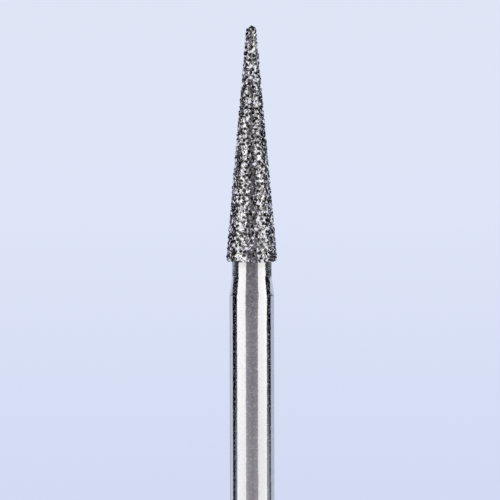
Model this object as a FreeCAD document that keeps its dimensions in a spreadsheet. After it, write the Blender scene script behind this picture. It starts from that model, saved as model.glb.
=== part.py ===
import FreeCAD, Part
import math
import os
import random

import Sketcher

# Friction-grip dental bur: a turned steel blank whose tapered, round-nosed head is plated
# with nickel, and diamond grains that stand out of the plating.
# +Z runs up the axis to the tip, and the origin is the centre of the shank's end face.

# Driving sizes, millimetres.
SIZES = [
    ("overall_length", 19.0),   # shank end to the top of the grain on the tip
    ("shank_dia", 1.6),         # standard friction-grip shank
    ("end_chamfer", 0.15),      # on the end that goes into the turbine's chuck
    ("taper_length", 0.63),     # from the shank down to the neck
    ("neck_length", 0.6),       # straight neck under the head
    ("head_length", 8.4),       # neck end of the plating to the tip, over the grains
    ("core_dia", 1.6),          # wide end of the steel core inside the head
    ("core_nose_dia", 0.15),    # ball nose of the steel core
    ("shoulder_width", 0.085),  # step from the core in to the neck
    ("bond_thickness", 0.08),   # nickel on the core
    ("rim_round", 0.05),        # outer edge of the plating at the neck end
    ("grain_height", 0.05),     # tallest grain, above the nickel
    ("grain_width", 0.124),     # widest grain, corner to corner
    ("grain_gap", 0.004),       # least room between two grains
    ("seat_gap", 0.002),        # under the flat foot of a grain
]

# Radii and heights that several outlines share, as expressions of the driving sizes.
SHANK_RADIUS = "sizes.shank_dia / 2"
CORE_RADIUS = "sizes.core_dia / 2"
NECK_RADIUS = f"{CORE_RADIUS} - sizes.shoulder_width"
BOND_RADIUS = f"{CORE_RADIUS} + sizes.bond_thickness"
CORE_NOSE_RADIUS = "sizes.core_nose_dia / 2"
BOND_NOSE_RADIUS = f"{CORE_NOSE_RADIUS} + sizes.bond_thickness"
HEAD_BASE = "sizes.overall_length - sizes.head_length"
SHOULDER = f"{HEAD_BASE} + sizes.bond_thickness"
NECK_BASE = f"{HEAD_BASE} - sizes.neck_length"
SHANK_TOP = f"{NECK_BASE} - sizes.taper_length"
BOND_TOP = "sizes.overall_length - sizes.grain_height - sizes.seat_gap"
CORE_TOP = f"{BOND_TOP} - sizes.bond_thickness"

# How the grains are scattered and shaped. A grain's reach and height are shares of the widest
# and the tallest grain's. A crown is its top's width and depth as shares of the foot's: a
# table, two kinds of ridge and a point.
SCATTER_SEED = 18
SCATTER_TRIES = 20000
NARROWEST = 0.78
FLATTEST = 0.62
SLIMMEST_FOOT = 0.72
CROWN_SHIFT = 0.3
CROWNS = [(0.55, 0.45), (0.6, 0.0), (0.35, 0.0), (0.0, 0.0)]
HALF_TURN = 180.0

# What a sketch constraint calls the two axes and the points of a line or an arc.
FLAT_AXIS = -1
UPRIGHT_AXIS = -2
START = 1
END = 2
CENTRE = 3

FULL_TURN = 360.0
SAME_EDGE = 1e-6


def make_sizes(doc):
    """The sheet of driving sizes, one alias to a row."""
    sheet = doc.addObject("Spreadsheet::Sheet", "sizes")
    for row, (alias, value) in enumerate(SIZES, start=1):
        sheet.set(f"A{row}", alias)
        sheet.set(f"B{row}", str(value))
        sheet.setAlias(f"B{row}", alias)
    doc.recompute()
    return sheet


def value_of(sheet, expression):
    """The number that an expression of the sizes gives."""
    result = sheet.evalExpression(expression)
    return float(getattr(result, "Value", result))


def cone_tangent(base_radius, base_height, nose_radius, nose_top):
    """Where a cone from its base circle runs into a ball nose: lean, radius and height."""
    centre = nose_top - nose_radius
    rise = centre - base_height
    reach = math.hypot(base_radius, rise)
    lean = math.atan2(base_radius, rise) - math.asin(nose_radius / reach)
    return lean, nose_radius * math.cos(lean), centre + nose_radius * math.sin(lean)


def bind_corner(sketch, line, corner, spot):
    """Binds the start of a line, now at a spot, to its radius and height."""
    radius, height = corner
    if radius is None:
        on_axis = Sketcher.Constraint("PointOnObject", line, START, UPRIGHT_AXIS)
        sketch.addConstraint(on_axis)
    else:
        across = Sketcher.Constraint("DistanceX", FLAT_AXIS, START, line, START, spot.x)
        sketch.setExpression(f"Constraints[{sketch.addConstraint(across)}]", radius)
    if height is None:
        on_end_face = Sketcher.Constraint("PointOnObject", line, START, FLAT_AXIS)
        sketch.addConstraint(on_end_face)
    else:
        along = Sketcher.Constraint("DistanceY", FLAT_AXIS, START, line, START, spot.y)
        sketch.setExpression(f"Constraints[{sketch.addConstraint(along)}]", height)


def nosed_outline(body, name, sheet, corners, nose_radius, nose_top):
    """Half section of a turned shape that ends in a cone and a ball nose.

    Each corner is a radius and a height, as expressions, or None on the axis or at the end
    face. The last corner is the wide end of the cone.
    """
    sketch = body.newObject("Sketcher::SketchObject", name)
    plane = next(item for item in body.Origin.OriginFeatures if item.Role == "XZ_Plane")
    sketch.AttachmentSupport = [(plane, "")]
    sketch.MapMode = "FlatFace"

    spots = []
    for radius, height in corners:
        across = value_of(sheet, radius) if radius else 0.0
        along = value_of(sheet, height) if height else 0.0
        spots.append(FreeCAD.Vector(across, along, 0))
    nose = value_of(sheet, nose_radius)
    top = value_of(sheet, nose_top)
    lean, across, along = cone_tangent(spots[-1].x, spots[-1].y, nose, top)
    spots.append(FreeCAD.Vector(across, along, 0))
    lines = []
    for start, end in zip(spots, spots[1:]):
        lines.append(sketch.addGeometry(Part.LineSegment(start, end), False))
    ball = Part.Circle(FreeCAD.Vector(0, top - nose, 0), FreeCAD.Vector(0, 0, 1), nose)
    arc = sketch.addGeometry(Part.ArcOfCircle(ball, lean, math.pi / 2), False)
    tip = FreeCAD.Vector(0, top, 0)
    axis = sketch.addGeometry(Part.LineSegment(tip, spots[0]), False)

    for line, following in zip(lines, lines[1:]):
        sketch.addConstraint(Sketcher.Constraint("Coincident", line, END, following, START))
    for line, corner, spot in zip(lines, corners, spots):
        bind_corner(sketch, line, corner, spot)
    sketch.addConstraint(Sketcher.Constraint("Tangent", lines[-1], END, arc, START))
    sketch.addConstraint(Sketcher.Constraint("PointOnObject", arc, CENTRE, UPRIGHT_AXIS))
    index = sketch.addConstraint(Sketcher.Constraint("Radius", arc, nose))
    sketch.setExpression(f"Constraints[{index}]", nose_radius)
    sketch.addConstraint(Sketcher.Constraint("Coincident", arc, END, axis, START))
    sketch.addConstraint(Sketcher.Constraint("Coincident", axis, END, lines[0], START))
    bind_corner(sketch, axis, (None, nose_top), tip)
    return sketch


def turn(body, kind, name, sketch):
    """A full turn of an outline about the bur's axis."""
    feature = body.newObject(kind, name)
    feature.Profile = sketch
    feature.ReferenceAxis = (sketch, ["V_Axis"])
    feature.Angle = FULL_TURN
    return feature


def make_steel_blank(doc, sheet):
    """Shank, taper, neck and tapered core, turned from one rod."""
    body = doc.addObject("PartDesign::Body", "steel_blank")
    corners = [
        (None, None),
        (f"{SHANK_RADIUS} - sizes.end_chamfer", None),
        (SHANK_RADIUS, "sizes.end_chamfer"),
        (SHANK_RADIUS, SHANK_TOP),
        (NECK_RADIUS, NECK_BASE),
        (NECK_RADIUS, SHOULDER),
        (CORE_RADIUS, SHOULDER),
    ]
    outline = nosed_outline(body, "blank_outline", sheet, corners, CORE_NOSE_RADIUS, CORE_TOP)
    turn(body, "PartDesign::Revolution", "blank_turned", outline)
    return body


def edge_at(shape, radius, height):
    """Name of the circular edge of this radius at this height."""
    for number, edge in enumerate(shape.Edges, start=1):
        curve = edge.Curve
        if isinstance(curve, Part.Circle) and abs(curve.Radius - radius) < SAME_EDGE:
            if abs(curve.Center.z - height) < SAME_EDGE:
                return f"Edge{number}"
    raise ValueError("the rim of the plating was not found")


def make_nickel_bond(doc, sheet):
    """The plating: a round-nosed sleeve on the core that turns in under it to the neck."""
    body = doc.addObject("PartDesign::Body", "nickel_bond")
    outer_corners = [(None, HEAD_BASE), (BOND_RADIUS, HEAD_BASE)]
    outer = nosed_outline(body, "bond_outline", sheet, outer_corners, BOND_NOSE_RADIUS, BOND_TOP)
    plated = turn(body, "PartDesign::Revolution", "bond_plated", outer)
    doc.recompute()

    base_height = value_of(sheet, HEAD_BASE)
    base_radius = value_of(sheet, BOND_RADIUS)
    rim = body.newObject("PartDesign::Fillet", "bond_rim")
    rim.Base = (plated, [edge_at(plated.Shape, base_radius, base_height)])
    rim.setExpression("Radius", "sizes.rim_round")
    doc.recompute()

    inner_corners = [
        (None, HEAD_BASE),
        (NECK_RADIUS, HEAD_BASE),
        (NECK_RADIUS, SHOULDER),
        (CORE_RADIUS, SHOULDER),
    ]
    inner = nosed_outline(body, "core_outline", sheet, inner_corners, CORE_NOSE_RADIUS, CORE_TOP)
    turn(body, "PartDesign::Groove", "core_room", inner)
    return body


class CoatSurface:
    """Outer face of the plating, from its rim up the cone and over the nose."""

    def __init__(self, sheet):
        self.base_radius = value_of(sheet, BOND_RADIUS)
        self.base_height = value_of(sheet, HEAD_BASE)
        self.nose_radius = value_of(sheet, BOND_NOSE_RADIUS)
        nose_top = value_of(sheet, BOND_TOP)
        self.nose_centre = nose_top - self.nose_radius
        tangent = cone_tangent(self.base_radius, self.base_height, self.nose_radius, nose_top)
        self.lean, tangent_radius, tangent_height = tangent
        self.slant = math.hypot(self.base_radius - tangent_radius,
                                tangent_height - self.base_height)
        self.length = self.slant + self.nose_radius * (math.pi / 2 - self.lean)

    def spot(self, distance):
        """Radius, height and lean of the face at a distance up from the rim."""
        if distance <= self.slant:
            radius = self.base_radius - distance * math.sin(self.lean)
            height = self.base_height + distance * math.cos(self.lean)
            return radius, height, self.lean
        lean = self.lean + (distance - self.slant) / self.nose_radius
        radius = self.nose_radius * math.cos(lean)
        return radius, self.nose_centre + self.nose_radius * math.sin(lean), lean


class Seats:
    """Places taken by grains, in cells as wide as the widest grain and its gap."""

    def __init__(self, cell, gap):
        self.cell = cell
        self.gap = gap
        self.taken = {}

    def key(self, point):
        return tuple(int(math.floor(value / self.cell)) for value in point)

    def is_free(self, point, reach):
        column, row, layer = self.key(point)
        for i in (column - 1, column, column + 1):
            for j in (row - 1, row, row + 1):
                for k in (layer - 1, layer, layer + 1):
                    for other, other_reach in self.taken.get((i, j, k), ()):
                        if (other - point).Length < reach + other_reach + self.gap:
                            return False
        return True

    def take(self, point, reach):
        self.taken.setdefault(self.key(point), []).append((point, reach))


def grain_solid(draw, reach, height):
    """One grain: a rectangular foot under a smaller, shifted table, ridge or point."""
    slim = draw.uniform(SLIMMEST_FOOT, 1.0)
    half_width = reach / math.hypot(1.0, slim)
    half_depth = half_width * slim
    width_share, depth_share = draw.choice(CROWNS)
    shift_x = half_width * draw.uniform(-CROWN_SHIFT, CROWN_SHIFT)
    shift_z = half_depth * draw.uniform(-CROWN_SHIFT, CROWN_SHIFT)
    top_width = half_width * width_share
    top_depth = half_depth * depth_share
    return Part.makeWedge(
        -half_width, 0.0, -half_depth, shift_z - top_depth, shift_x - top_width,
        half_width, height, half_depth, shift_z + top_depth, shift_x + top_width)


def seat_grain(grain, surface, distance, bearing, twist, gap):
    """Sets a grain's foot on the plating, square to it, at a distance and bearing."""
    radius, height, lean = surface.spot(distance)
    across = math.cos(lean)
    outward = FreeCAD.Vector(math.cos(bearing) * across, math.sin(bearing) * across,
                             math.sin(lean))
    foot = FreeCAD.Vector(radius * math.cos(bearing), radius * math.sin(bearing), height)
    up = FreeCAD.Vector(0, 1, 0)
    turned = FreeCAD.Rotation(up, outward).multiply(FreeCAD.Rotation(up, twist))
    grain.Placement = FreeCAD.Placement(foot + outward * gap, turned)
    return grain


def make_diamond_grains(doc, sheet):
    """Separate grains scattered over the plating, the first one on the very tip."""
    surface = CoatSurface(sheet)
    widest = value_of(sheet, "sizes.grain_width") / 2
    tallest = value_of(sheet, "sizes.grain_height")
    seat_gap = value_of(sheet, "sizes.seat_gap")
    lowest = value_of(sheet, "sizes.rim_round") + widest
    grain_gap = value_of(sheet, "sizes.grain_gap")
    seats = Seats(2 * widest + grain_gap, grain_gap)
    draw = random.Random(SCATTER_SEED)

    grains = []
    for attempt in range(SCATTER_TRIES):
        reach = widest * draw.uniform(NARROWEST, 1.0)
        height = tallest * draw.uniform(FLATTEST, 1.0)
        distance = draw.uniform(lowest, surface.length)
        if attempt == 0:
            distance = surface.length
            height = tallest
        bearing = draw.uniform(0, 2 * math.pi)
        radius, level, lean = surface.spot(distance)
        if attempt and draw.random() > radius / surface.base_radius:
            continue
        foot = FreeCAD.Vector(radius * math.cos(bearing), radius * math.sin(bearing), level)
        if not seats.is_free(foot, reach):
            continue
        seats.take(foot, reach)
        grain = grain_solid(draw, reach, height)
        twist = draw.uniform(0, HALF_TURN)
        grains.append(seat_grain(grain, surface, distance, bearing, twist, seat_gap))

    feature = doc.addObject("Part::Feature", "diamond_grains")
    feature.Shape = Part.makeCompound(grains)
    feature.Placement = FreeCAD.Placement()
    return feature


def check_model(doc, parts):
    """Stops before anything is written if a feature or a sub-part failed."""
    for item in doc.Objects:
        if "Invalid" in item.State or "Error" in item.State:
            raise RuntimeError(f"{item.Name} did not build: {item.State}")
    for part in parts:
        if part.Shape.isNull() or not part.Shape.isValid():
            raise RuntimeError(f"{part.Label} has no valid shape")


def main():
    os.makedirs("parts", exist_ok=True)
    doc = FreeCAD.newDocument("dental_bur")
    sheet = make_sizes(doc)
    parts = [
        make_steel_blank(doc, sheet),
        make_nickel_bond(doc, sheet),
        make_diamond_grains(doc, sheet),
    ]
    for part in parts:
        part.Label = part.Name
    doc.recompute()
    check_model(doc, parts)
    for part in parts:
        part.Shape.exportStep(os.path.join("parts", f"{part.Label}.step"))
        box = part.Shape.BoundBox
        print(f"{part.Label}: {len(part.Shape.Solids)} solids, {part.Shape.Volume:.4f} mm3, "
              f"z {box.ZMin:.3f} to {box.ZMax:.3f}")


main()
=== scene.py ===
"""A friction-grip dental bur: polished steel shank, nickel-plated taper and diamond grit.

Lengths are written in millimetres and made metres where a mesh or the camera is placed. Only
the lamps are written in metres. The bur stands on its shank's end face at the origin, with its
axis up Z.
"""
import math
import random

import bmesh
import bpy
import numpy as np
from mathutils import Matrix, Vector, kdtree, noise


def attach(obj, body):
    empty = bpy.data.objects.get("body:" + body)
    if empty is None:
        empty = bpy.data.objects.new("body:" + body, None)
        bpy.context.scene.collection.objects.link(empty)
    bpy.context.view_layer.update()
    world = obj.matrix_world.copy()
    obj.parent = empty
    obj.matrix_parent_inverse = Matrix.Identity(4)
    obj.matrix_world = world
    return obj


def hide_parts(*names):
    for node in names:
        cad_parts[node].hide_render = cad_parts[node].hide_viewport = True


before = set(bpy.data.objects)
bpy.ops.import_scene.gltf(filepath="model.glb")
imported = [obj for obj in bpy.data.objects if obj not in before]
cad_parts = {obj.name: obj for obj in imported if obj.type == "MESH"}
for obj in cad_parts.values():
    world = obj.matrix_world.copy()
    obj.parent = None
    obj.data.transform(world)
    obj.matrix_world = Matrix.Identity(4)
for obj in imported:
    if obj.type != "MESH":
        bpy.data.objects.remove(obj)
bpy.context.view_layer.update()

MM = 0.001

# Turned steel: radius and height of each corner, from the end face up to the ball nose.
SHANK_RADIUS = 0.8
CHAMFER_TOP = 0.15
CHAMFER_RADIUS = 0.65
SHANK_TOP = 9.37
NECK_RADIUS = 0.715
NECK_BASE = 10.0
HEAD_BASE = 10.6
CORE_BASE = 10.68
CORE_RADIUS = 0.8
CORE_NOSE_RADIUS = 0.075
CORE_TOP = 18.868
STEEL_SIDES = 192

# Nickel over the core.
PLATING = 0.08
RIM_ROUND = 0.05
PLATE_RADIUS = CORE_RADIUS + PLATING
PLATE_NOSE_RADIUS = CORE_NOSE_RADIUS + PLATING
PLATE_TOP = CORE_TOP + PLATING
PLATE_SIDES = 240
NOSE_RINGS = 20
TAPER_RINGS = 24
ROWS_PER_RING = 14

# Rings on the nose of the core, and on the plating's inner wall over it.
CORE_NOSE_RINGS = 6
INNER_NOSE_RINGS = 5
# Steps across a soft edge of the steel, the plating's flat underside and its rounded rim.
EDGE_STEPS = 5
UNDER_STEPS = 5
RIM_STEPS = 5
# Soft edges of the steel: radius, height and width.
SOFT_RINGS = [(CHAMFER_RADIUS, 0.0, 0.012), (SHANK_RADIUS, CHAMFER_TOP, 0.02),
              (SHANK_RADIUS, SHANK_TOP, 0.02), (NECK_RADIUS, NECK_BASE, 0.07)]
# Angle between two faces past which their edge is sharp, in degrees.
STEEL_CREASE = 30
PLATE_CREASE = 60
# Lengths that differ by less than this are the same.
SAME = 1e-4


# Turning.

def start_piece(name):
    """Names the primitive just added and opens it in edit mode, all selected."""
    piece = bpy.context.object
    piece.name = piece.data.name = name
    bpy.ops.object.transform_apply(location=True, rotation=True, scale=True)
    bpy.ops.object.mode_set(mode="EDIT")
    bpy.ops.mesh.select_all(action="SELECT")
    return piece


def start_ring(name, sides, radius, height, fill="NOTHING"):
    """A ring of edges round the bur's axis, open in edit mode."""
    bpy.ops.object.select_all(action="DESELECT")
    place = (0, 0, height * MM)
    bpy.ops.mesh.primitive_circle_add(
        vertices=sides, radius=radius * MM, fill_type=fill, location=place, calc_uvs=False)
    return start_piece(name)


def draw_on(here, stations):
    """Extrudes the selected ring on through the stations, each a radius and a height."""
    for radius, height in stations:
        rise = (0, 0, (height - here[1]) * MM)
        bpy.ops.mesh.extrude_region_move(TRANSFORM_OT_translate={"value": rise})
        grow = radius / here[0]
        bpy.ops.transform.resize(value=(grow, grow, 1), center_override=(0, 0, height * MM))
        here = (radius, height)
    return here


def pick(piece, kind, test):
    """Selects only the vertices, edges or faces whose middle, in millimetres, passes a test."""
    bpy.ops.mesh.select_mode(type={"verts": "VERT", "edges": "EDGE", "faces": "FACE"}[kind])
    bpy.ops.mesh.select_all(action="DESELECT")
    shape = bmesh.from_edit_mesh(piece.data)
    for part in getattr(shape, kind):
        if kind == "verts":
            middle = part.co
        else:
            middle = sum((corner.co for corner in part.verts), Vector()) / len(part.verts)
        if test(part, middle / MM):
            part.select_set(True)
    shape.select_flush_mode()
    bmesh.update_edit_mesh(piece.data)


def finish_piece(piece, crease_degrees):
    """Closes edit mode with the faces turned outwards and smooth up to an angle."""
    bpy.ops.mesh.select_all(action="SELECT")
    bpy.ops.mesh.normals_make_consistent(inside=False)
    bpy.ops.object.mode_set(mode="OBJECT")
    bpy.ops.object.shade_smooth_by_angle(angle=math.radians(crease_degrees))
    return piece


def tangent_of(base_radius, base_height, nose_radius, nose_top):
    """Lean of a cone that runs into a ball nose, and where the two meet."""
    centre = nose_top - nose_radius
    rise = centre - base_height
    reach = math.hypot(base_radius, rise)
    lean = math.atan2(base_radius, rise) - math.asin(nose_radius / reach)
    return lean, nose_radius * math.cos(lean), centre + nose_radius * math.sin(lean)


CORE_LEAN, CORE_JOINT_RADIUS, CORE_JOINT = tangent_of(
    CORE_RADIUS, CORE_BASE, CORE_NOSE_RADIUS, CORE_TOP)
PLATE_LEAN, PLATE_JOINT_RADIUS, PLATE_JOINT = tangent_of(
    PLATE_RADIUS, HEAD_BASE, PLATE_NOSE_RADIUS, PLATE_TOP)


def nose_stations(lean, nose_radius, nose_top, rings):
    """Stations up a ball nose from where the cone meets it, short of the pole."""
    centre = nose_top - nose_radius
    stations = []
    for ring in range(1, rings):
        angle = lean + (math.pi / 2 - lean) * ring / rings
        stations.append((nose_radius * math.cos(angle), centre + nose_radius * math.sin(angle)))
    return stations


def close_pole(here, top):
    """Draws the selected ring in to a point on the axis."""
    draw_on(here, [(here[0] * 0.5, top)])
    bpy.ops.mesh.merge(type="CENTER")


def is_ring_edge(edge, radius, height):
    """True for an edge of the ring of this radius and height."""
    ends = [corner.co / MM for corner in edge.verts]
    return all(
        abs(end.z - height) < SAME and abs(math.hypot(end.x, end.y) - radius) < SAME
        for end in ends)


def make_shank():
    """Shank, taper, neck and core, turned from one rod."""
    piece = start_ring("polished_shank", STEEL_SIDES, CHAMFER_RADIUS, 0.0, "NGON")
    corners = [
        (SHANK_RADIUS, CHAMFER_TOP),
        (SHANK_RADIUS, SHANK_TOP),
        (NECK_RADIUS, NECK_BASE),
        (NECK_RADIUS, CORE_BASE),
        (CORE_RADIUS, CORE_BASE),
        (CORE_JOINT_RADIUS, CORE_JOINT),
    ]
    here = draw_on((CHAMFER_RADIUS, 0.0), corners)
    here = draw_on(here, nose_stations(CORE_LEAN, CORE_NOSE_RADIUS, CORE_TOP, CORE_NOSE_RINGS))
    close_pole(here, CORE_TOP)

    for radius, height, width in SOFT_RINGS:
        pick(piece, "edges", lambda edge, _: is_ring_edge(edge, radius, height))
        bpy.ops.mesh.bevel(offset=width * MM, segments=EDGE_STEPS, profile=0.5)
    return finish_piece(piece, STEEL_CREASE)


# Grit.

class Seat:
    """Where a grain stands on the plating: place and outward direction, in millimetres."""

    def __init__(self, place, outward, along, reach, height):
        self.place = place
        self.outward = outward
        self.along = along
        self.reach = reach
        self.height = height


def outward_at(point):
    """The plating's outward direction beside a point on or near it."""
    centre = Vector((0, 0, PLATE_TOP - PLATE_NOSE_RADIUS))
    if point.z > PLATE_JOINT:
        return (point - centre).normalized()
    round_axis = Vector((point.x, point.y, 0)).normalized()
    flat = math.cos(PLATE_LEAN)
    return Vector((round_axis.x * flat, round_axis.y * flat, math.sin(PLATE_LEAN)))


# Corners of the model's loose triangles nearer than this are one corner, and a grain's foot is
# this deep.
MERGE_GAP = 0.0002
FOOT_DEPTH = 0.004


def read_seats():
    """The seats of the model's grains, one for each separate solid of the node."""
    shape = bmesh.new()
    shape.from_mesh(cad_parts["diamond_grains"].data)
    bmesh.ops.remove_doubles(shape, verts=shape.verts, dist=MERGE_GAP * MM)
    seats = []
    left = set(shape.verts)
    for first in list(shape.verts):
        if first not in left:
            continue
        left.discard(first)
        grain = [first]
        for corner in grain:
            for edge in corner.link_edges:
                other = edge.other_vert(corner)
                if other in left:
                    left.discard(other)
                    grain.append(other)
        corners = [corner.co / MM for corner in grain]
        middle = sum(corners, Vector()) / len(corners)
        outward = outward_at(middle)
        low = min((corner - middle).dot(outward) for corner in corners)
        high = max((corner - middle).dot(outward) for corner in corners)
        foot = [corner for corner in corners
                if (corner - middle).dot(outward) < low + FOOT_DEPTH]
        place = sum(foot, Vector()) / len(foot)
        along = max((corner - place for corner in foot), key=lambda arm: arm.length)
        seats.append(Seat(place, outward, along.normalized(), along.length, high - low))
    shape.free()
    return seats


CUBE_SIDE = 1.8
FLAT_ANGLE = math.radians(2)


def cut_crystal(name, seed, cuts, nearest, farthest):
    """A crystal of about unit size: a cube with its corners and edges cleft off."""
    draw = random.Random(seed)
    bpy.ops.object.select_all(action="DESELECT")
    bpy.ops.mesh.primitive_cube_add(size=CUBE_SIDE)
    piece = start_piece(name)
    for _ in range(cuts):
        lean = Vector([draw.gauss(0, 1) for _ in range(3)]).normalized()
        depth = draw.uniform(nearest, farthest)
        bpy.ops.mesh.select_all(action="SELECT")
        bpy.ops.mesh.bisect(
            plane_co=lean * depth, plane_no=lean, use_fill=True, clear_outer=True)
    bpy.ops.mesh.select_all(action="SELECT")
    bpy.ops.mesh.dissolve_limited(angle_limit=FLAT_ANGLE)
    bpy.ops.mesh.select_all(action="SELECT")
    bpy.ops.mesh.normals_make_consistent(inside=False)
    bpy.ops.object.mode_set(mode="OBJECT")
    return piece


def cut_kinds(name, kinds, seed, cuts, nearest, farthest):
    """Several crystals of one sort, cut at distances between the nearest and the farthest."""
    return [cut_crystal(f"{name}_{n}", seed + n, cuts, nearest, farthest) for n in range(kinds)]


# Length and width of a grain as shares of its seat's reach, and how far it tips, in radians.
GRAIN_LENGTHS = (0.85, 1.1)
GRAIN_WIDTHS = (0.8, 1.05)
TIP = 0.18


def stand(seat, sink, wide, draw):
    """Matrix that stands a unit crystal in its seat, sunk by a share of its height."""
    across = seat.outward.cross(seat.along).normalized()
    turn = Matrix((seat.along, across, seat.outward)).transposed().to_4x4()
    half = seat.height * (1 + sink) / 2
    middle = seat.place + seat.outward * (seat.height - half)
    size = Matrix.Diagonal(
        (wide * draw.uniform(*GRAIN_LENGTHS), wide * draw.uniform(*GRAIN_WIDTHS), half, 1))
    spin = Matrix.Rotation(draw.uniform(0, 2 * math.pi), 4, "Z")
    tip = Matrix.Rotation(draw.gauss(0, TIP), 4, "X") @ Matrix.Rotation(draw.gauss(0, TIP), 4, "Y")
    return Matrix.Translation(middle * MM) @ turn @ Matrix.Scale(MM, 4) @ size @ tip @ spin


def set_grains(name, crystals, standings, tones):
    """One piece of crystal copies, each with its own tone."""
    shape = bmesh.new()
    tone_layer = shape.faces.layers.float.new("tone")
    for (crystal, matrix), tone in zip(standings, tones):
        copy = crystals[crystal].data.copy()
        copy.transform(matrix)
        before = len(shape.faces)
        shape.from_mesh(copy)
        shape.faces.ensure_lookup_table()
        for face in shape.faces[before:]:
            face[tone_layer] = tone
        bpy.data.meshes.remove(copy)
    mesh = bpy.data.meshes.new(name)
    shape.to_mesh(mesh)
    shape.free()
    piece = bpy.data.objects.new(name, mesh)
    bpy.context.scene.collection.objects.link(piece)
    return piece


# Share of its height that a grain is sunk by, and its width over its seat's.
GRIT_SINK = 0.9
FINES_SINK = 0.8
GRIT_SPREAD = 1.02


def make_grit(seats):
    """The diamond grains in the model's seats."""
    crystals = cut_kinds("crystal", kinds=6, seed=40, cuts=8, nearest=0.66, farthest=0.95)
    draw = random.Random(7)
    standings = []
    tones = []
    for seat in seats:
        matrix = stand(seat, GRIT_SINK, seat.reach * GRIT_SPREAD, draw)
        crystal = draw.randrange(len(crystals))
        top = max((matrix @ corner.co / MM - seat.place).dot(seat.outward)
                  for corner in crystals[crystal].data.vertices)
        drop = Matrix.Translation(seat.outward * (seat.height - top) * MM)
        standings.append((crystal, drop @ matrix))
        tones.append(draw.random())
    piece = set_grains("diamond_grit", crystals, standings, tones)
    for crystal in crystals:
        bpy.data.objects.remove(crystal)
    return piece


CHIP_COUNT = 1900
CHIP_SPACING = 0.046
CHIP_REACH = (0.02, 0.036)
CHIP_TALLNESS = (0.6, 1.1)
# Share of a grain's reach that chips keep out of.
CHIP_ROOM = 0.8


def plate_place(height, bearing):
    """A point on the plating at a height, and its outward direction."""
    centre = PLATE_TOP - PLATE_NOSE_RADIUS
    if height > PLATE_JOINT:
        radius = math.sqrt(max(0.0, PLATE_NOSE_RADIUS ** 2 - (height - centre) ** 2))
    else:
        share = (height - HEAD_BASE) / (PLATE_JOINT - HEAD_BASE)
        radius = PLATE_RADIUS + (PLATE_JOINT_RADIUS - PLATE_RADIUS) * share
    place = Vector((radius * math.cos(bearing), radius * math.sin(bearing), height))
    return place, outward_at(place)


def scatter_chips(seats):
    """Seats for the fines that lie between the grains, thickest along the rim."""
    draw = random.Random(31)
    taken = np.array([tuple(seat.place) for seat in seats])
    room = np.array([seat.reach * CHIP_ROOM for seat in seats])
    chips = []
    placed = np.zeros((0, 3))
    while len(chips) < CHIP_COUNT:
        height = draw.uniform(HEAD_BASE + 0.01, PLATE_TOP)
        bearing = draw.uniform(0, 2 * math.pi)
        place, outward = plate_place(height, bearing)
        keep = max(math.hypot(place.x, place.y), PLATE_NOSE_RADIUS) / PLATE_RADIUS
        if draw.random() > keep:
            continue
        here = np.array(tuple(place))
        if (np.linalg.norm(taken - here, axis=1) < room).any():
            continue
        if len(chips) and (np.linalg.norm(placed - here, axis=1) < CHIP_SPACING).any():
            continue
        placed = np.vstack([placed, here])
        along = outward.orthogonal().normalized()
        reach = draw.uniform(*CHIP_REACH)
        chips.append(Seat(place, outward, along, reach, reach * draw.uniform(*CHIP_TALLNESS)))
    return chips


RIM_GRAINS = 95
RIM_SHIFT = 0.3
RIM_REACH = (0.03, 0.055)
RIM_TALLNESS = (0.5, 0.8)
# How far down round the rim's edge the grains look, in degrees under level.
RIM_FALL = (-10, 85)


def rim_seats():
    """Seats round the rounded edge at the foot of the head, some hanging under it."""
    draw = random.Random(57)
    seats = []
    for number in range(RIM_GRAINS):
        bearing = 2 * math.pi * (number + draw.uniform(-RIM_SHIFT, RIM_SHIFT)) / RIM_GRAINS
        fall = math.radians(draw.uniform(*RIM_FALL))
        radius = PLATE_RADIUS - RIM_ROUND + RIM_ROUND * math.cos(fall)
        height = HEAD_BASE + RIM_ROUND * (1 - math.sin(fall))
        ray = Vector((math.cos(bearing), math.sin(bearing), 0))
        outward = ray * math.cos(fall) - Vector((0, 0, math.sin(fall)))
        place = ray * radius + Vector((0, 0, height))
        reach = draw.uniform(*RIM_REACH)
        seats.append(Seat(place, outward, outward.orthogonal().normalized(), reach,
                          reach * draw.uniform(*RIM_TALLNESS)))
    return seats


def make_fines(seats):
    """Small splinters of diamond between the grains."""
    crystals = cut_kinds("splinter", kinds=4, seed=60, cuts=4, nearest=0.5, farthest=0.8)
    draw = random.Random(9)
    standings = []
    tones = []
    for seat in scatter_chips(seats) + rim_seats():
        crystal = draw.randrange(len(crystals))
        standings.append((crystal, stand(seat, FINES_SINK, seat.reach, draw)))
        tones.append(draw.random())
    piece = set_grains("diamond_fines", crystals, standings, tones)
    for crystal in crystals:
        bpy.data.objects.remove(crystal)
    return piece


# Plating.

# An edge that runs up the taper lies this near the wall, and rises by more than this.
NEAR_WALL = 0.01
LEAST_RISE = 0.1


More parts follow.
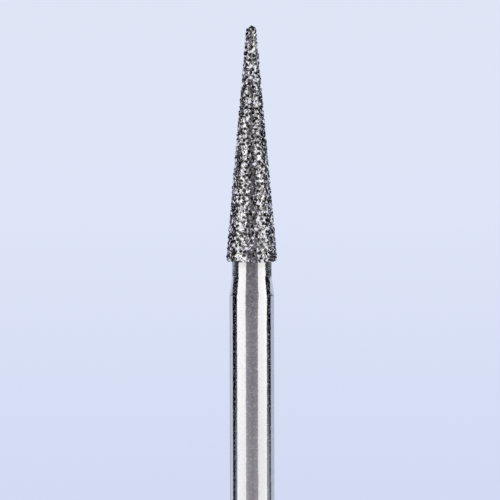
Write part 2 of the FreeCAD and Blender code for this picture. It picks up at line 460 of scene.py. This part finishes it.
def make_plating(seats):
    """The nickel sleeve, grown up round every grain."""
    piece = start_ring("nickel_plating", PLATE_SIDES, NECK_RADIUS, HEAD_BASE)

    inner = [(NECK_RADIUS, CORE_BASE), (CORE_RADIUS, CORE_BASE), (CORE_JOINT_RADIUS, CORE_JOINT)]
    here = draw_on((NECK_RADIUS, HEAD_BASE), inner)
    here = draw_on(here, nose_stations(CORE_LEAN, CORE_NOSE_RADIUS, CORE_TOP, INNER_NOSE_RINGS))
    close_pole(here, CORE_TOP)

    pick(piece, "verts", lambda _, place: abs(place.z - HEAD_BASE) < SAME)
    flat_edge = PLATE_RADIUS - RIM_ROUND
    under = [(NECK_RADIUS + (flat_edge - NECK_RADIUS) * step / UNDER_STEPS, HEAD_BASE)
             for step in range(1, UNDER_STEPS + 1)]
    rim = []
    for step in range(1, RIM_STEPS + 1):
        angle = math.pi / 2 * step / RIM_STEPS
        rim.append((flat_edge + RIM_ROUND * math.sin(angle),
                    HEAD_BASE + RIM_ROUND * (1 - math.cos(angle))))
    here = draw_on((NECK_RADIUS, HEAD_BASE), under + rim)
    foot_radius, foot_height = here
    taper = []
    for ring in range(1, TAPER_RINGS + 1):
        share = ring / TAPER_RINGS
        taper.append((foot_radius + (PLATE_JOINT_RADIUS - foot_radius) * share,
                      foot_height + (PLATE_JOINT - foot_height) * share))
    here = draw_on(here, taper)
    here = draw_on(here, nose_stations(PLATE_LEAN, PLATE_NOSE_RADIUS, PLATE_TOP, NOSE_RINGS))
    close_pole(here, PLATE_TOP)

    def is_taper_rise(edge, middle):
        """True for an edge that runs up the outside of the taper."""
        low, high = sorted(corner.co.z / MM for corner in edge.verts)
        radius = math.hypot(middle.x, middle.y)
        line = foot_radius + (PLATE_JOINT_RADIUS - foot_radius) * (
            (middle.z - foot_height) / (PLATE_JOINT - foot_height))
        return abs(radius - line) < NEAR_WALL and high - low > LEAST_RISE

    pick(piece, "edges", is_taper_rise)
    bpy.ops.mesh.subdivide(number_cuts=ROWS_PER_RING)
    finish_piece(piece, PLATE_CREASE)
    grow_nickel(piece, seats)
    return piece


# Collars round the grains: where they start as a share of a grain's reach, their rise, and the
# distance over which they fade. The crevice shade is painted shade, a dark line along a grain's
# foot.
COLLAR_START = 0.8
COLLAR_RISE = 0.014
COLLAR_FADE = 0.016
CREVICE_SHADE_START = 0.9
CREVICE_SHADE_FADE = 0.02
# Lumps of the plating and the finer grain on them: rise and noise scale.
LUMP_RISE = 0.014
LUMP_SCALE = 9.0
LUMP_FLATNESS = 1.4
GRAIN_RISE = 0.004
GRAIN_SCALE = 27.0
GRAIN_SHIFT = Vector((5, 3, 1))
# The plating is only raised, never sunk, up to this far over the head's foot.
FOOT_BAND = 0.03


def grow_nickel(piece, seats):
    """Moves the outer skin of the plating into collars round the grains and fine lumps."""
    tree = kdtree.KDTree(len(seats))
    for number, seat in enumerate(seats):
        tree.insert(seat.place, number)
    tree.balance()
    normals = [corner.normal.copy() for corner in piece.data.vertices]
    # Painted shade along each grain's foot, kept for the nickel's colour.
    crevice_shade = piece.data.attributes.new("crevice_shade", "FLOAT", "POINT")
    for corner, normal in zip(piece.data.vertices, normals):
        place = corner.co / MM
        radius = math.hypot(place.x, place.y)
        # The wall on the core stays as it is, and so does the edge that meets the neck.
        inside = normal.dot(outward_at(place)) < -0.2 or (
            radius < NECK_RADIUS + 0.003 and place.z < CORE_BASE + 0.01)
        core_wall = abs(place.z - CORE_BASE) < 0.002 and radius < CORE_RADIUS + 0.002
        if inside or core_wall:
            continue
        _, number, distance = tree.find(place)
        edge = seats[number].reach * CREVICE_SHADE_START
        crevice_shade.data[corner.index].value = math.exp(-abs(distance - edge) / CREVICE_SHADE_FADE)
        beyond = max(0.0, distance - seats[number].reach * COLLAR_START)
        rise = COLLAR_RISE * math.exp(-beyond / COLLAR_FADE)
        squat = Vector((place.x, place.y, place.z * LUMP_FLATNESS))
        rise += LUMP_RISE * noise.noise(squat * LUMP_SCALE)
        rise += GRAIN_RISE * noise.noise(place * GRAIN_SCALE + GRAIN_SHIFT)
        if place.z < HEAD_BASE + FOOT_BAND:
            rise = max(rise, 0.0)
        corner.co += normal * rise * MM
    piece.data.update()


# Finishes.

def linear(red, green, blue):
    """Linear colour of a display colour given in 0 to 255."""
    def channel(value):
        value = value / 255
        return value / 12.92 if value <= 0.04045 else ((value + 0.055) / 1.055) ** 2.4
    return (channel(red), channel(green), channel(blue), 1.0)


def add_node(tree, kind, settings=None, values=None):
    """Adds a node, with its settings and the values of its unlinked sockets."""
    node = tree.nodes.new(kind)
    for name, value in (settings or {}).items():
        setattr(node, name, value)
    for name, value in (values or {}).items():
        node.inputs[name].default_value = value
    return node


def link(tree, source, target):
    """Joins an output socket to an input socket."""
    tree.links.new(source, target)


def empty_material(name):
    """A material with nothing in it but its output."""
    material = bpy.data.materials.new(name)
    material.use_nodes = True
    tree = material.node_tree
    tree.nodes.clear()
    return material, tree, add_node(tree, "ShaderNodeOutputMaterial")


def new_material(name):
    """A material with one Principled shader."""
    material, tree, output = empty_material(name)
    shader = add_node(tree, "ShaderNodeBsdfPrincipled")
    link(tree, shader.outputs["BSDF"], output.inputs["Surface"])
    return material, tree, shader


def millimetres(tree, stretch=(1, 1, 1)):
    """Object coordinates in millimetres, stretched along the axes."""
    coordinates = add_node(tree, "ShaderNodeTexCoord")
    scale = tuple(1000 * share for share in stretch)
    mapping = add_node(tree, "ShaderNodeMapping", values={"Scale": scale})
    link(tree, coordinates.outputs["Object"], mapping.inputs["Vector"])
    return mapping.outputs["Vector"]


def make_relief_group():
    """Two sizes of noise added up: a tone from 0 to 1, for colour, gloss or height."""
    group = bpy.data.node_groups.new("surface_relief", "ShaderNodeTree")
    for name, kind, value in (("Vector", "NodeSocketVector", None),
                              ("Coarse", "NodeSocketFloat", 6.0),
                              ("Fine", "NodeSocketFloat", 30.0),
                              ("Fine share", "NodeSocketFloat", 0.4)):
        socket = group.interface.new_socket(name=name, in_out="INPUT", socket_type=kind)
        if value is not None:
            socket.default_value = value
    group.interface.new_socket(name="Tone", in_out="OUTPUT", socket_type="NodeSocketFloat")
    inside = add_node(group, "NodeGroupInput")
    outside = add_node(group, "NodeGroupOutput")
    coarse = add_node(group, "ShaderNodeTexNoise", values={"Detail": 2.0, "Roughness": 0.5})
    fine = add_node(group, "ShaderNodeTexNoise", values={"Detail": 1.0, "Roughness": 0.5})
    blend = add_node(group, "ShaderNodeMix", {"data_type": "FLOAT"})
    spread = add_node(group, "ShaderNodeMapRange",
                      values={"From Min": 0.28, "From Max": 0.72})
    link(group, inside.outputs["Vector"], coarse.inputs["Vector"])
    link(group, inside.outputs["Vector"], fine.inputs["Vector"])
    link(group, inside.outputs["Coarse"], coarse.inputs["Scale"])
    link(group, inside.outputs["Fine"], fine.inputs["Scale"])
    link(group, inside.outputs["Fine share"], blend.inputs["Factor"])
    link(group, coarse.outputs["Fac"], blend.inputs["A"])
    link(group, fine.outputs["Fac"], blend.inputs["B"])
    link(group, blend.outputs["Result"], spread.inputs["Value"])
    link(group, spread.outputs["Result"], outside.inputs["Tone"])
    return group


RELIEF = make_relief_group()


def relief(tree, vector, coarse, fine, share):
    """The shared relief on a vector, with its own scales."""
    node = add_node(tree, "ShaderNodeGroup", {"node_tree": RELIEF})
    node.inputs["Coarse"].default_value = coarse
    node.inputs["Fine"].default_value = fine
    node.inputs["Fine share"].default_value = share
    link(tree, vector, node.inputs["Vector"])
    return node.outputs["Tone"]


def shade(tree, tone, low, high):
    """A tone spread between two numbers."""
    node = add_node(tree, "ShaderNodeMapRange", values={"To Min": low, "To Max": high})
    link(tree, tone, node.inputs["Value"])
    return node.outputs["Result"]


def mix_values(tree, share, first, second):
    """A value between two, each a number or a socket, as the share is."""
    node = add_node(tree, "ShaderNodeMix", {"data_type": "FLOAT"})
    for name, value in (("Factor", share), ("A", first), ("B", second)):
        if isinstance(value, float):
            node.inputs[name].default_value = value
        else:
            link(tree, value, node.inputs[name])
    return node.outputs["Result"]


def mix_colours(tree, tone, first, second):
    """A colour between two, each a tuple or a socket."""
    node = add_node(tree, "ShaderNodeMix", {"data_type": "RGBA"})
    link(tree, tone, node.inputs["Factor"])
    for name, colour in (("A", first), ("B", second)):
        socket = next(each for each in node.inputs if each.name == name and each.type == "RGBA")
        if isinstance(colour, tuple):
            socket.default_value = colour
        else:
            link(tree, colour, socket)
    return next(each for each in node.outputs if each.type == "RGBA")


def bump(tree, height, distance, shader):
    """Bumps a shader by a height, with the distance in millimetres."""
    node = add_node(tree, "ShaderNodeBump", values={"Distance": distance * MM, "Strength": 1.0})
    link(tree, height, node.inputs["Height"])
    link(tree, node.outputs["Normal"], shader.inputs["Normal"])


# Marks on the steel by their height: a faint turned ring whose dark line is painted shade, with a
# painted highlight under it, painted shade on the neck under the head, and a painted contact
# shadow where the head meets it.
RING_SHADE_HEIGHT = 8.72
RING_WIDTH = 0.022
PAINTED_GLINT_DROP = 0.045
HEAD_SHADE_START = 10.28
HEAD_SHADE_END = 10.46
CONTACT_SHADOW_START = 10.545


def band_at(tree, height, middle, width):
    """1 at a height on the axis, falling to 0 over a width each side."""
    away = add_node(tree, "ShaderNodeMath", {"operation": "SUBTRACT"})
    link(tree, height, away.inputs[0])
    away.inputs[1].default_value = middle
    size = add_node(tree, "ShaderNodeMath", {"operation": "ABSOLUTE"})
    link(tree, away.outputs[0], size.inputs[0])
    band = add_node(tree, "ShaderNodeMapRange", {"interpolation_type": "SMOOTHSTEP"},
                    {"From Min": width, "From Max": 0.0})
    link(tree, size.outputs[0], band.inputs["Value"])
    return band.outputs["Result"]


def rise_between(tree, height, start, end, most):
    """0 below one height and the most above another."""
    ramp = add_node(tree, "ShaderNodeMapRange", {"interpolation_type": "SMOOTHSTEP"},
                    {"From Min": start, "From Max": end, "To Min": 0.0, "To Max": most})
    link(tree, height, ramp.inputs["Value"])
    return ramp.outputs["Result"]


def make_steel():
    """Ground and polished stainless steel, with fine lines round it and a little mottling."""
    material, tree, shader = new_material("polished_steel")
    place = millimetres(tree)
    split = add_node(tree, "ShaderNodeSeparateXYZ")
    link(tree, place, split.inputs["Vector"])
    height = split.outputs["Z"]

    lines = relief(tree, millimetres(tree, (0.4, 0.4, 1)), 11.0, 24.0, 0.5)
    mottle = relief(tree, place, 10.0, 19.0, 0.6)
    lined = mix_colours(tree, lines, (0.59, 0.59, 0.595, 1), (0.70, 0.70, 0.705, 1))
    colour = mix_colours(tree, shade(tree, mottle, 0.0, 0.5), lined, (0.80, 0.79, 0.79, 1))
    # Painted shade: the turned ring's dark line, and a painted highlight just under it.
    ring = band_at(tree, height, RING_SHADE_HEIGHT, RING_WIDTH)
    colour = mix_colours(tree, shade(tree, ring, 0.0, 0.14), colour, (0.3, 0.3, 0.31, 1))
    painted_glint = band_at(tree, height, RING_SHADE_HEIGHT - PAINTED_GLINT_DROP, RING_WIDTH)
    colour = mix_colours(tree, shade(tree, painted_glint, 0.0, 0.15), colour, (0.9, 0.9, 0.9, 1))
    # Painted shade on the neck under the head: a darker, creamier band.
    head_shade = rise_between(tree, height, HEAD_SHADE_START, HEAD_SHADE_END, 0.45)
    colour = mix_colours(tree, head_shade, colour, (0.50, 0.485, 0.46, 1))
    # Painted contact shadow: a dark line on the neck where the head meets it.
    contact_shadow = rise_between(tree, height, CONTACT_SHADOW_START, HEAD_BASE, 0.8)
    colour = mix_colours(tree, contact_shadow, colour, (0.07, 0.068, 0.065, 1))
    link(tree, colour, shader.inputs["Base Color"])

    grain = mix_values(tree, 0.5, lines, mottle)
    patch = add_node(tree, "ShaderNodeMapRange", {"interpolation_type": "SMOOTHSTEP"},
                     {"From Min": 0.5, "From Max": 0.7})
    link(tree, grain, patch.inputs["Value"])
    link(tree, shade(tree, patch.outputs["Result"], 1.0, 0.86), shader.inputs["Metallic"])
    specks = add_node(tree, "ShaderNodeTexVoronoi", values={"Scale": 6.5})
    link(tree, place, specks.inputs["Vector"])
    pit = add_node(tree, "ShaderNodeMapRange", values={"From Min": 0.19, "From Max": 0.11})
    link(tree, specks.outputs["Distance"], pit.inputs["Value"])
    polish = shade(tree, patch.outputs["Result"], 0.055, 0.13)
    gloss = mix_values(tree, pit.outputs["Result"], polish, 0.42)
    link(tree, gloss, shader.inputs["Roughness"])
    waves = relief(tree, millimetres(tree, (1.4, 1.4, 0.8)), 4.0, 12.0, 0.3)
    bump(tree, waves, 0.0010, shader)
    return material


def make_nickel():
    """Electroplated nickel, satin, with fine nodules and painted shade along the grains' feet."""
    material, tree, shader = new_material("satin_nickel")
    shader.inputs["Metallic"].default_value = 1.0
    nodules = relief(tree, millimetres(tree, (1, 1, 1.3)), 9.0, 22.0, 0.35)
    patches = add_node(tree, "ShaderNodeMapRange", {"interpolation_type": "SMOOTHSTEP"},
                       {"From Min": 0.25, "From Max": 0.7})
    link(tree, nodules, patches.inputs["Value"])
    colour = mix_colours(tree, patches.outputs["Result"], (0.32, 0.312, 0.316, 1),
                         (1.0, 0.975, 0.985, 1))
    # Painted shade: the nickel darkens along each grain's foot.
    crevice_shade = add_node(tree, "ShaderNodeAttribute", {"attribute_name": "crevice_shade"})
    crevice_shaded = mix_colours(tree, shade(tree, crevice_shade.outputs["Fac"], 0.0, 0.85), colour,
                          (0.05, 0.05, 0.05, 1))
    link(tree, crevice_shaded, shader.inputs["Base Color"])
    link(tree, shade(tree, nodules, 0.24, 0.14), shader.inputs["Roughness"])
    bump(tree, nodules, 0.0045, shader)
    return material


# Share of the grains, counted from the darkest, below which a grain is clear; the rest are
# frosted white.
CLEAR_SHARE = 0.87


def make_diamond():
    """Diamond grains: dark clear ones, bright ones, and a few that are frosted white."""
    material, tree, shader = new_material("diamond_grit")
    tone = add_node(tree, "ShaderNodeAttribute", {"attribute_name": "tone"})
    cloud = relief(tree, millimetres(tree), 12.0, 40.0, 0.4)
    ramp = add_node(tree, "ShaderNodeValToRGB")
    stops = ramp.color_ramp.elements
    tones = [(0.0, 0.008), (0.54, 0.035), (0.68, 0.55), (CLEAR_SHARE, 0.96), (1.0, 0.97)]
    for number, (position, value) in enumerate(tones):
        stop = stops[number] if number < 2 else stops.new(position)
        stop.position = position
        stop.color = (value, value * 0.98, value * 1.01, 1)
    link(tree, tone.outputs["Fac"], ramp.inputs["Fac"])
    colour = mix_colours(tree, shade(tree, cloud, 0.0, 0.25), ramp.outputs["Color"],
                         (0.12, 0.12, 0.125, 1))
    link(tree, colour, shader.inputs["Base Color"])
    frost = add_node(tree, "ShaderNodeMath", {"operation": "GREATER_THAN"})
    link(tree, tone.outputs["Fac"], frost.inputs[0])
    frost.inputs[1].default_value = CLEAR_SHARE
    link(tree, mix_values(tree, frost.outputs[0], 0.95, 0.0), shader.inputs["Metallic"])
    clear = shade(tree, cloud, 0.06, 0.15)
    link(tree, mix_values(tree, frost.outputs[0], clear, 0.5), shader.inputs["Roughness"])
    bump(tree, cloud, 0.001, shader)
    return material


# Studio.

# Pale blue of the floor by its distance from the bur, in millimetres.
FLOOR_TONES = [(18.6, (210, 218, 243)), (58, (213, 221, 244)), (108, (218, 225, 246)),
               (175, (222, 229, 248)), (400, (224, 231, 248))]
FLOOR_RADIUS = 1500.0
ROUND_SIDES = 96
# Share of its tone that the floor shows by itself where it is seen. The rest is lit, and shaded.
SEEN_SHARE = 0.72


def seen_directly(tree):
    """1 for camera, glossy and transmission rays."""
    path = add_node(tree, "ShaderNodeLightPath")
    first = add_node(tree, "ShaderNodeMath", {"operation": "MAXIMUM"})
    link(tree, path.outputs["Is Camera Ray"], first.inputs[0])
    link(tree, path.outputs["Is Glossy Ray"], first.inputs[1])
    second = add_node(tree, "ShaderNodeMath", {"operation": "MAXIMUM"})
    link(tree, first.outputs[0], second.inputs[0])
    link(tree, path.outputs["Is Transmission Ray"], second.inputs[1])
    return second.outputs[0]


def make_floor():
    """A wide pale sheet under the bur that fades to the far tone."""
    bpy.ops.object.select_all(action="DESELECT")
    bpy.ops.mesh.primitive_circle_add(
        vertices=ROUND_SIDES, radius=FLOOR_RADIUS * MM, fill_type="TRIFAN", location=(0, 0, 0))
    piece = start_piece("studio_floor")
    finish_piece(piece, STEEL_CREASE)
    material, tree, output = empty_material("pale_floor")
    coordinates = add_node(tree, "ShaderNodeTexCoord")
    length = add_node(tree, "ShaderNodeVectorMath", {"operation": "LENGTH"})
    link(tree, coordinates.outputs["Object"], length.inputs[0])
    far = FLOOR_TONES[-1][0]
    share = add_node(tree, "ShaderNodeMapRange", values={"From Max": far * MM})
    link(tree, length.outputs["Value"], share.inputs["Value"])
    ramp = add_node(tree, "ShaderNodeValToRGB")
    stops = ramp.color_ramp.elements
    for number, (distance, tone) in enumerate(FLOOR_TONES):
        stop = stops[number] if number < 2 else stops.new(distance / far)
        stop.position = distance / far
        stop.color = linear(*tone)
    link(tree, share.outputs["Result"], ramp.inputs["Fac"])
    sheet = add_node(tree, "ShaderNodeBsdfDiffuse")
    glow = add_node(tree, "ShaderNodeEmission", values={"Strength": 1.0})
    link(tree, ramp.outputs["Color"], sheet.inputs["Color"])
    link(tree, ramp.outputs["Color"], glow.inputs["Color"])
    share_seen = add_node(tree, "ShaderNodeMath", {"operation": "MULTIPLY"})
    share_seen.inputs[1].default_value = SEEN_SHARE
    link(tree, seen_directly(tree), share_seen.inputs[0])
    both = add_node(tree, "ShaderNodeMixShader")
    link(tree, share_seen.outputs[0], both.inputs["Fac"])
    link(tree, sheet.outputs[0], both.inputs[1])
    link(tree, glow.outputs[0], both.inputs[2])
    link(tree, both.outputs[0], output.inputs["Surface"])
    piece.data.materials.append(material)


WORLD_FILL = 0.87


def make_world():
    """Far tone where it is seen, and a neutral fill for everything else."""
    world = bpy.data.worlds.new("studio")
    bpy.context.scene.world = world
    world.use_nodes = True
    tree = world.node_tree
    tree.nodes.clear()
    output = add_node(tree, "ShaderNodeOutputWorld")
    far = add_node(tree, "ShaderNodeBackground",
                   values={"Color": linear(*FLOOR_TONES[-1][1]), "Strength": 1.0})
    fill = add_node(tree, "ShaderNodeBackground",
                    values={"Color": (1, 1, 1, 1), "Strength": WORLD_FILL})
    both = add_node(tree, "ShaderNodeMixShader")
    link(tree, seen_directly(tree), both.inputs["Fac"])
    link(tree, fill.outputs[0], both.inputs[1])
    link(tree, far.outputs[0], both.inputs[2])
    link(tree, both.outputs[0], output.inputs["Surface"])


CARD_HEIGHT = 38.0
WING_HEIGHT = 24.0
# Edges of the cards that only the polished metal shows, each a line through points of height
# and bearing in degrees, 0 in front of the bur and positive to the right.
EDGES = {
    "rear_left": [(0.0, -175)],
    "flag_left": [(7.95, -117), (8.05, -146), (8.7, -146), (8.95, -134), (10.05, -134),
                  (10.15, -117), (10.5, -117), (10.6, -131), (11.8, -131), (11.9, -117)],
    "softbox_left": [(0.0, -81), (4.0, -80.8), (6.6, -81.4), (7.2, -80.8), (8.1, -83), (8.4, -83),
                     (8.65, -79.5), (12.6, -80.5), (12.95, -82), (13.25, -84), (14.0, -82)],
    "front_left": [(0.0, -31.3), (6.0, -31.8), (7.0, -32.6), (8.3, -33), (15.6, -33)],
    "front_right": [(6.6, 30.8), (7.0, 32.2), (7.6, 32.2), (8.0, 36.2), (14.1, 35.4), (14.5, 38),
                    (15.3, 38)],
    "softbox_right": [(7.6, 82), (8.1, 89), (8.45, 88), (8.65, 82), (12.6, 82), (12.95, 85),
                      (13.2, 87), (14.0, 82)],
    "flag_right": [(7.95, 113), (8.05, 156), (8.7, 156), (8.95, 132), (10.15, 131), (10.3, 113),
                   (10.8, 113), (10.9, 124), (12.0, 128), (12.1, 113)],
    "rear_right": [(0.0, 175)],
}
# Glow of each card: rows of a height and the tones across it from its left edge to its right.
GLOWS = {
    "left_softbox": [(0.0, (1.28, 1.26, 1.20)), (3.0, (1.36, 1.34, 1.30)),
                     (9.0, (1.38, 1.36, 1.33))],
    "right_softbox": [(0.0, (1.12, 1.18, 1.28)), (4.0, (1.22, 1.26, 1.40)),
                      (7.0, (1.28, 1.33, 1.48))],
    "front_card": [
        (0.0, (.58, .46, .41, .38, .36, .35, .32, .32, .34, .36, .37, .38, .55)),
        (2.8, (.53, .40, .365, .33, .31, .30, .28, .275, .29, .30, .31, .325, .46)),
        (4.8, (.50, .40, .36, .33, .305, .297, .28, .275, .285, .295, .305, .325, .44)),
        (6.65, (.46, .37, .34, .315, .285, .275, .26, .26, .27, .285, .295, .305, .40)),
        (7.0, (.42, .30, .27, .26, .24, .225, .22, .225, .245, .27, .27, .27, .34)),
        (8.3, (.34, .19, .18, .18, .18, .19, .19, .18, .18, .21, .26, .29, .38)),
        (14.2, (.34, .26, .25, .24, .23, .22, .22, .22, .23, .24, .25, .26, .34)),
        (14.9, (.34, .24, .23, .22, .21, .20, .20, .20, .21, .22, .23, .24, .34)),
        (15.7, (.26, .19, .18, .17, .17, .165, .165, .165, .165, .165, .165, .165, .22))],
    "left_flag": [
        (0.0, (.10, .0, .03, .25, .46)), (1.6, (.08, .0, .02, .19, .38)),
        (2.8, (.06, .0, .0, .12, .27)), (4.8, (.03, .0, .01, .08, .20)),
        (6.6, (.03, .0, .01, .04, .06)), (7.2, (.03, .0, .0, .0, .0)),
        (8.1, (.10, .05, .01, .0, .0)), (8.35, (.25, .17, .02, .0, .0)),
        (8.65, (.60, .60, .22, .06, .06)), (9.3, (.16, .06, .01, .01, .01)),
        (10.1, (.12, .04, .01, .01, .01)), (10.3, (.05, .02, .01, .01, .01))],
    "right_flag": [
        (0.0, (.30, .41, .28, .10, .07)), (1.4, (.24, .32, .16, .03, .05)),
        (2.8, (.17, .16, .04, .0, .01)), (4.8, (.15, .13, .03, .0, .0)),
        (6.5, (.06, .035, .01, .0, .01)), (7.2, (.01, .01, .0, .0, .0)),
        (8.1, (.0, .0, .03, .05, .08)), (8.42, (.0, .0, .05, .07, .16)),
        (8.65, (.04, .12, .24, .24, .24)), (9.3, (.01, .01, .01, .05, .12)),
        (10.2, (.01, .01, .01, .04, .10)), (10.4, (.01, .01, .01, .02, .05))],
    "left_wing": [(7.3, (.78, .79, .84, .98, 1.0)), (8.2, (1.0, 1.0, 1.0, 1.0, 1.0)),
                  (10.0, (1.05, 1.05, 1.05, 1.05, 1.05))],
    "right_wing": [(7.6, (1.0, 1.0)), (10.0, (1.2, 1.2))],
}
# Each card's left and right edges, the height it reaches and its tint.
CARDS = [
    ("left_wing", "rear_left", "flag_left", WING_HEIGHT, (0.73, 0.75, 0.90)),
    ("left_flag", "flag_left", "softbox_left", CARD_HEIGHT, (0.86, 1.0, 1.25)),
    ("left_softbox", "softbox_left", "front_left", CARD_HEIGHT, (1.0, 1.0, 1.01)),
    ("front_card", "front_left", "front_right", CARD_HEIGHT, (1.02, 0.985, 1.085)),
    ("right_softbox", "front_right", "softbox_right", CARD_HEIGHT, (1.0, 1.0, 1.01)),
    ("right_flag", "softbox_right", "flag_right", CARD_HEIGHT, (0.97, 1.0, 1.08)),
    ("right_wing", "flag_right", "rear_right", WING_HEIGHT, (0.56, 0.63, 0.78)),
]
# The cards' foot reaches in to the inner radius, just over the floor.
CARD_INNER = 1.2
CARD_RADIUS = 26.0
CARD_COLUMNS = 36
FLOOR_GAP = 0.02
CEILING_TONE = 0.03


def value_at(points, height):
    """Value at a height on a line through points, each a height and a value."""
    heights, values = zip(*points)
    return float(np.interp(height, heights, values))


def glow_at(rows, height, share):
    """Glow of a card at a height and at a share of its width."""
    heights = [row[0] for row in rows]
    tones = [np.interp(height, heights, column) for column in zip(*[row[1] for row in rows])]
    return float(np.interp(share * (len(tones) - 1), range(len(tones)), tones))


def glow_material(name, tint, graded=True):
    """A glow of one tint, even or graded by the piece's own attribute."""
    material, tree, output = empty_material(name)
    glow = add_node(tree, "ShaderNodeEmission", values={"Color": (*tint, 1), "Strength": 1.0})
    if graded:
        grade = add_node(tree, "ShaderNodeAttribute", {"attribute_name": "glow"})
        link(tree, grade.outputs["Fac"], glow.inputs["Strength"])
    link(tree, glow.outputs[0], output.inputs["Surface"])
    return material


def only_reflected(piece):
    """Keeps a card out of everything but reflections."""
    piece.visible_camera = False
    piece.visible_diffuse = False
    piece.visible_shadow = False
    piece.visible_transmission = False


def make_card(name, left, right, top, tint):
    """A sheet bent round the bur between two edges, with a foot reaching in under it."""
    levels = {FLOOR_GAP, top}
    for points in list(EDGES.values()) + [GLOWS[name]]:
        levels.update(point[0] for point in points if FLOOR_GAP < point[0] < top)
    stations = [(CARD_INNER, FLOOR_GAP)] + [(CARD_RADIUS, level) for level in sorted(levels)]

    bpy.ops.object.select_all(action="DESELECT")
    bpy.ops.mesh.primitive_grid_add(x_subdivisions=CARD_COLUMNS, size=1.0, calc_uvs=False,
                                    y_subdivisions=len(stations) - 1)
    piece = start_piece(name)
    bpy.ops.object.mode_set(mode="OBJECT")
    glow = piece.data.attributes.new("glow", "FLOAT", "POINT")
    for corner in piece.data.vertices:
        share = corner.co.x + 0.5
        radius, height = stations[round((corner.co.y + 0.5) * (len(stations) - 1))]
        start = value_at(EDGES[left], height)
        bearing = math.radians(start + (value_at(EDGES[right], height) - start) * share)
        glow.data[corner.index].value = glow_at(GLOWS[name], height, share)
        corner.co = Vector((radius * math.sin(bearing), -radius * math.cos(bearing), height)) * MM
    piece.data.materials.append(glow_material(name, tint))
    only_reflected(piece)


def make_ceiling():
    """A dark disc that closes the ring of cards at the top."""
    piece = start_ring("ceiling_card", ROUND_SIDES, CARD_RADIUS, CARD_HEIGHT, "TRIFAN")
    finish_piece(piece, STEEL_CREASE)
    piece.data.materials.append(glow_material("ceiling", (CEILING_TONE,) * 3, graded=False))
    only_reflected(piece)


# The lamps, in metres and watts, and degrees from the front.
LAMP_SIZE = 0.5
LAMP_REACH = 0.6
LAMP_HEIGHT = 0.5
LAMP_POWER = 0.9
LAMP_BEARING = 50


def make_lamp(name, bearing):
    """A large soft lamp, aimed at the bur."""
    data = bpy.data.lights.new(name, "AREA")
    data.size = LAMP_SIZE
    data.energy = LAMP_POWER
    lamp = bpy.data.objects.new(name, data)
    bpy.context.scene.collection.objects.link(lamp)
    angle = math.radians(bearing)
    lamp.location = (LAMP_REACH * math.sin(angle), -LAMP_REACH * math.cos(angle), LAMP_HEIGHT)
    lamp.rotation_euler = (-lamp.location).to_track_quat("-Z", "Y").to_euler()
    lamp.visible_glossy = False


# Camera: aimed at a point in the bur's plane, from in front and a little above.
CAMERA_AIM = Vector((-0.0596, 0, 10.97))
CAMERA_DISTANCE = 300.0
CAMERA_ELEVATION = 4.2
CAMERA_ROLL = -0.139
CAMERA_LENS = 604.8
SENSOR_WIDTH = 36.0


def make_camera():
    """The camera, set as the scene's own."""
    data = bpy.data.cameras.new("camera")
    camera = bpy.data.objects.new("camera", data)
    bpy.context.scene.collection.objects.link(camera)
    bpy.context.scene.camera = camera
    rise = math.radians(CAMERA_ELEVATION)
    back = Vector((0, -math.cos(rise), math.sin(rise)))
    camera.location = (CAMERA_AIM + back * CAMERA_DISTANCE) * MM
    roll = Matrix.Rotation(math.radians(CAMERA_ROLL), 4, "Z")
    aim = (-back).to_track_quat("-Z", "Y").to_matrix().to_4x4() @ roll
    camera.rotation_euler = aim.to_euler()
    data.lens = CAMERA_LENS
    data.sensor_width = SENSOR_WIDTH
    data.clip_start = 0.01
    data.clip_end = 3.0


make_camera()
make_world()
make_floor()
for card in CARDS:
    make_card(*card)
make_ceiling()
make_lamp("left_lamp", -LAMP_BEARING)
make_lamp("right_lamp", LAMP_BEARING)

shank = make_shank()
shank.data.materials.append(make_steel())
seats = read_seats()
plating = make_plating(seats)
plating.data.materials.append(make_nickel())
grit = make_grit(seats)
diamond = make_diamond()
grit.data.materials.append(diamond)
fines = make_fines(seats)
fines.data.materials.append(diamond)
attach(fines, "root")

for piece, node, slot in ((shank, "steel_blank", "steel"), (plating, "nickel_bond", "nickel"),
                          (grit, "diamond_grains", "diamond")):
    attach(piece, "root")
    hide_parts(node)

bpy.context.scene.view_settings.view_transform = "Standard"
